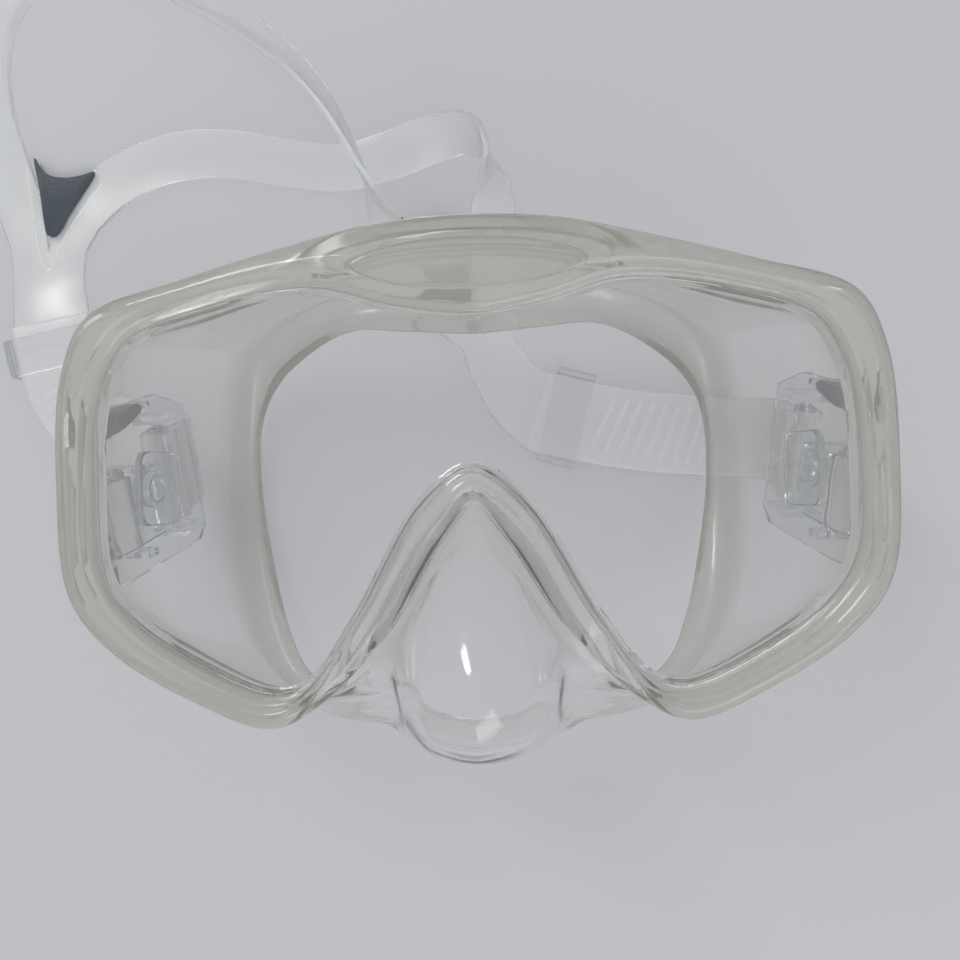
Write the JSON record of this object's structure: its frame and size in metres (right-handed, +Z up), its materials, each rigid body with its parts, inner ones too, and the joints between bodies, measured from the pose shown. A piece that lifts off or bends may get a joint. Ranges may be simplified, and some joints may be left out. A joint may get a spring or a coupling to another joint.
{
  "type": "snorkel mask",
  "caption": "Frameless single-lens snorkel mask in clear silicone, with a notched glass pane, a nose pocket, swivel quick-adjust buckles and a split head strap.",
  "frame": {"origin": "middle of the underside of the whole box, on the surface that the mask lies on", "axes": "+Z up, out through the glass; +Y towards the forehead edge; +X towards the side whose strap arm passes under the skirt"},
  "size_m": [0.2188, 0.2054, 0.091],
  "materials": {
    "clear_silicone": "gloss",
    "clear_glass": "gloss",
    "clear_plastic": "gloss",
    "slate_plastic": "satin",
    "stainless_steel": "satin"
  },
  "bodies": {
    "root": {"skirt": "clear_silicone", "lens": "clear_glass", "brow_window": "clear_plastic", "split_strap": "clear_silicone", "strap_patch_left": "slate_plastic", "strap_patch_right": "slate_plastic", "strap_tail_left": "clear_silicone", "strap_tail_right": "clear_silicone", "lug_plate_left": "clear_plastic", "lug_plate_right": "clear_plastic", "swivel_pin_left": "clear_plastic", "swivel_pin_right": "clear_plastic", "swivel_cap_left": "clear_plastic", "swivel_cap_right": "clear_plastic"},
    "buckle_left": {"buckle_body_left": "clear_plastic", "strap_loop_left": "clear_silicone", "roller_axle_left": "stainless_steel", "lever_pin_left": "stainless_steel"},
    "lever_left": {"release_lever_left": "clear_plastic"},
    "button_left": {"locking_button_left": "slate_plastic"},
    "roller_left": {"strap_roller_left": "clear_plastic"},
    "keeper_left": {"keeper_left": "clear_plastic"},
    "buckle_right": {"buckle_body_right": "clear_plastic", "strap_loop_right": "clear_silicone", "roller_axle_right": "stainless_steel", "lever_pin_right": "stainless_steel"},
    "lever_right": {"release_lever_right": "clear_plastic"},
    "button_right": {"locking_button_right": "slate_plastic"},
    "roller_right": {"strap_roller_right": "clear_plastic"},
    "keeper_right": {"keeper_right": "clear_plastic"}
  },
  "joints": [
    {"name": "buckle_swivel_left", "type": "hinge", "parent": "root", "child": "buckle_left", "pos_m": [-0.05084, -0.04318, 0.03751], "axis": [-0.9521, 0, -0.3057], "range_deg": [-9, 41]},
    {"name": "release_lever_left", "type": "hinge", "parent": "buckle_left", "child": "lever_left", "pos_m": [-0.06063, -0.04414, 0.0379], "axis": [-0.0843, 0.9613, 0.2624], "range_deg": [0, 10], "stiffness_Nm_per_rad": 0.03, "springref_deg": -5.73},
    {"name": "locking_button_left", "type": "slide", "parent": "buckle_left", "child": "button_left", "axis": [0.0843, -0.9613, -0.2624], "range_m": [0, 0.002], "stiffness_N_per_m": 300, "springref_m": -0.001},
    {"name": "strap_roller_left", "type": "hinge", "parent": "buckle_left", "child": "roller_left", "pos_m": [-0.05587, -0.03932, 0.02176], "axis": [-0.0843, 0.9613, 0.2624], "continuous": true},
    {"name": "keeper_slide_left", "type": "slide", "parent": "root", "child": "keeper_left", "axis": [-0.204, 0.979, 0.0032], "range_m": [-0.002, 0.002]},
    {"name": "buckle_swivel_right", "type": "hinge", "parent": "root", "child": "buckle_right", "pos_m": [0.09527, -0.04318, 0.04261], "axis": [0.9711, 0, -0.2385], "range_deg": [-41, 9]},
    {"name": "release_lever_right", "type": "hinge", "parent": "buckle_right", "child": "lever_right", "pos_m": [0.10501, -0.04414, 0.04369], "axis": [-0.0658, -0.9613, -0.2677], "range_deg": [0, 10], "stiffness_Nm_per_rad": 0.03, "springref_deg": -5.73},
    {"name": "locking_button_right", "type": "slide", "parent": "buckle_right", "child": "button_right", "axis": [-0.0658, -0.9613, -0.2677], "range_m": [0, 0.002], "stiffness_N_per_m": 300, "springref_m": -0.001},
    {"name": "strap_roller_right", "type": "hinge", "parent": "buckle_right", "child": "roller_right", "pos_m": [0.10138, -0.03932, 0.02726], "axis": [-0.0658, -0.9613, -0.2677], "continuous": true},
    {"name": "keeper_slide_right", "type": "slide", "parent": "root", "child": "keeper_right", "axis": [-0.9642, 0.2651, -0.0101], "range_m": [-0.002, 0.002]}
  ]
}
